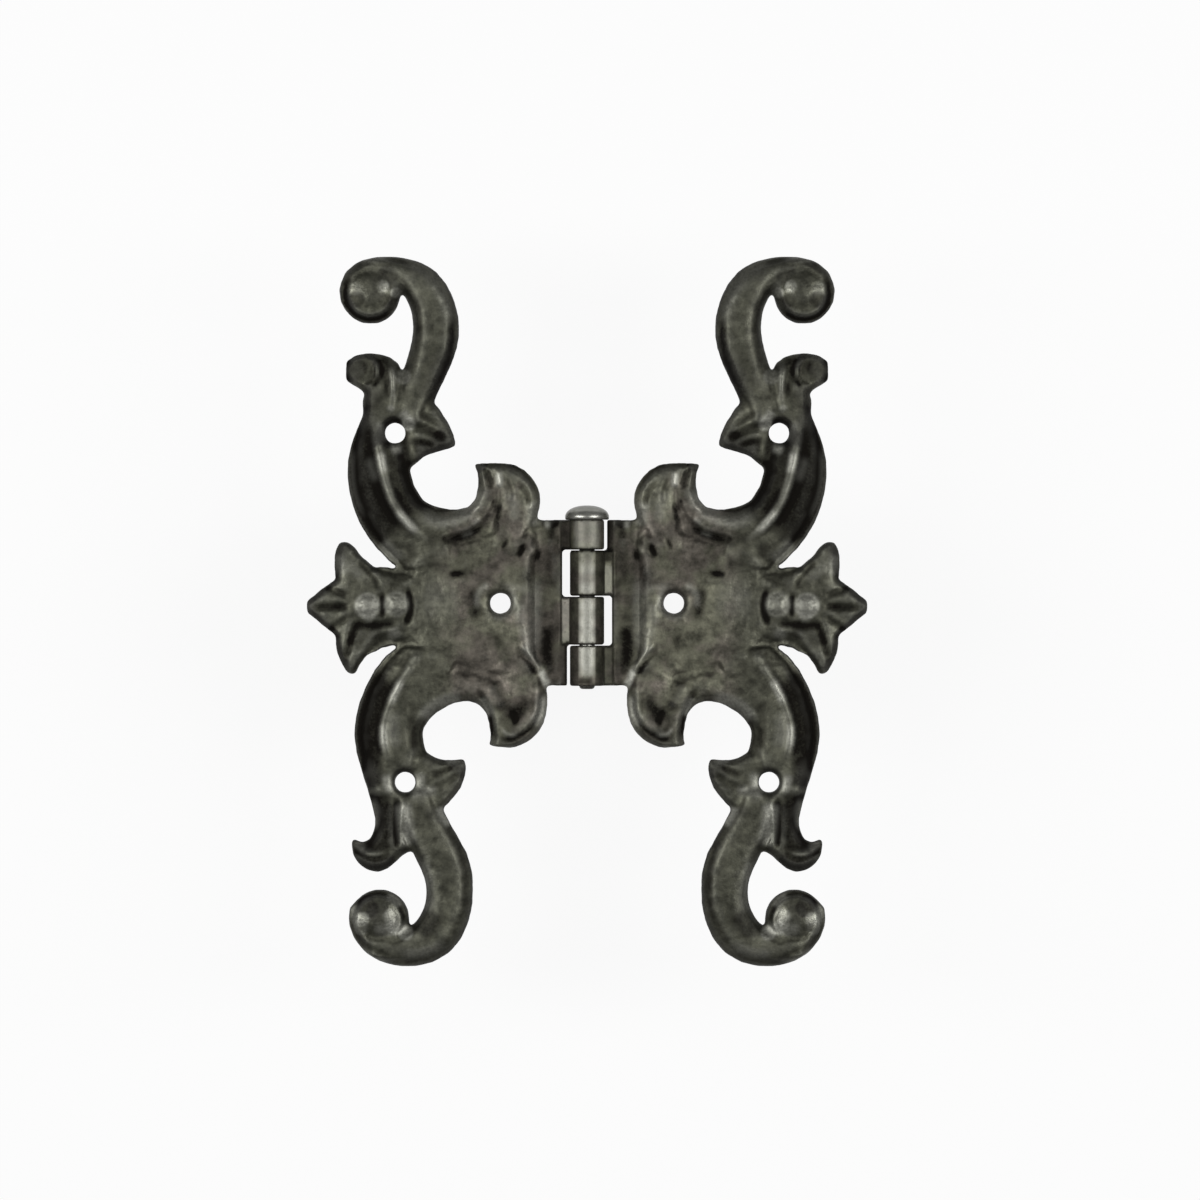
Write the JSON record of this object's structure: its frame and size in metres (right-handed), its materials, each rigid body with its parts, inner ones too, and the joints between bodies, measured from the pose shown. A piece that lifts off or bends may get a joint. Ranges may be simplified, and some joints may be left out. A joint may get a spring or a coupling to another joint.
{
  "type": "ornamental cabinet hinge",
  "caption": "Surface-mounted cabinet hinge with scrolled acanthus leaves of dark antique iron on a knuckled barrel and a domed pin.",
  "frame": {"origin": "middle of the hinge's outline on the back plane of the open leaves, with the pin axis above it", "axes": "+Z out of the decorated front, +Y along the pin towards its domed head, +X across to the leaf that turns"},
  "size_m": [0.0866, 0.1099, 0.0068],
  "materials": {
    "antique_iron": "dark antique pewter-bronze patina, edges rubbed brighter",
    "pin_steel": "darkened, worn satin"
  },
  "bodies": {
    "left_leaf": {"left_leaf": "antique_iron", "hinge_pin": "pin_steel"},
    "right_leaf": {"right_leaf": "antique_iron"}
  },
  "joints": [
    {"name": "leaf_fold", "type": "hinge", "parent": "left_leaf", "child": "right_leaf", "pos_m": [0, 0, 0.0034], "axis": [0, -1, 0], "range_deg": [-80, 180]}
  ]
}
